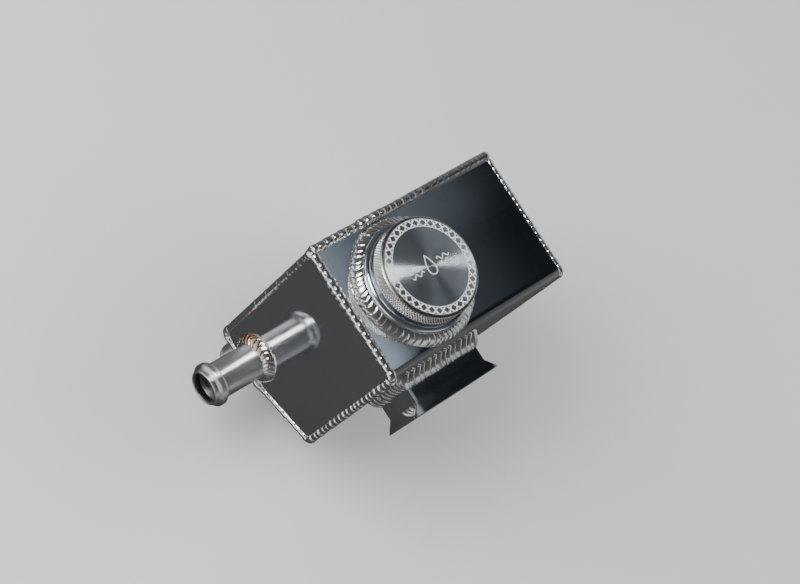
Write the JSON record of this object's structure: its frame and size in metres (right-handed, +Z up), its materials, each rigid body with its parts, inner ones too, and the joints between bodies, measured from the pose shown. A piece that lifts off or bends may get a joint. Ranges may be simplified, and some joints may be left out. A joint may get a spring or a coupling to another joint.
{
  "type": "hydraulic reservoir",
  "caption": "Small welded sheet hydraulic reservoir with a round screw-cap filler on top, beaded hose tubes at the front and bottom and a dovetail mounting block on one side.",
  "frame": {"origin": "middle of the mounting dovetail's outer face", "axes": "+Z up along the filler axis, -Y out of the dovetail's face, -X the way the front hose tube points"},
  "size_m": [0.1589, 0.0936, 0.1544],
  "materials": {
    "polished_sheet": "mirror-polished sheet with fine wipe marks",
    "weld_bead": "bright rippled TIG bead with a little heat tint",
    "turned_aluminium": "fine turned face, knurled rim",
    "milled_aluminium": "smooth milled and polished",
    "tube_aluminium": "satin drawn tube",
    "mill_finish_sheet": "plain mill finish",
    "stainless_strainer": "perforated stainless sheet",
    "nitrile_rubber": "smooth black nitrile"
  },
  "bodies": {
    "tank": {"shell_wrapper": "polished_sheet", "front_end_plate": "polished_sheet", "rear_end_plate": "polished_sheet", "seam_weld": "weld_bead", "front_end_weld": "weld_bead", "rear_end_weld": "weld_bead", "filler_neck": "turned_aluminium", "filler_neck_weld": "weld_bead", "front_hose_tube": "tube_aluminium", "front_hose_tube_weld": "weld_bead", "bottom_hose_tube": "tube_aluminium", "bottom_hose_tube_weld": "weld_bead", "mounting_dovetail": "milled_aluminium", "mounting_dovetail_weld": "weld_bead", "baffle_plate": "mill_finish_sheet", "baffle_tack_welds": "weld_bead", "strainer_rim": "stainless_strainer", "strainer_cup": "stainless_strainer"},
    "cap_seal": {"cap_o_ring": "nitrile_rubber"},
    "cap": {"cap_body": "turned_aluminium"}
  },
  "joints": [
    {"name": "cap_lift", "type": "slide", "parent": "tank", "child": "cap_seal", "axis": [0, 0, 1], "range_m": [0, 0.0101]},
    {"name": "cap_turn", "type": "hinge", "parent": "cap_seal", "child": "cap", "pos_m": [-0.01, 0.0556, 0.0564], "axis": [0, 0, 1], "range_deg": [0, 1800]}
  ],
  "couplings": [
    {"joint": "cap_lift", "follows": "cap_turn", "m_per_rad": 0.00031831}
  ]
}
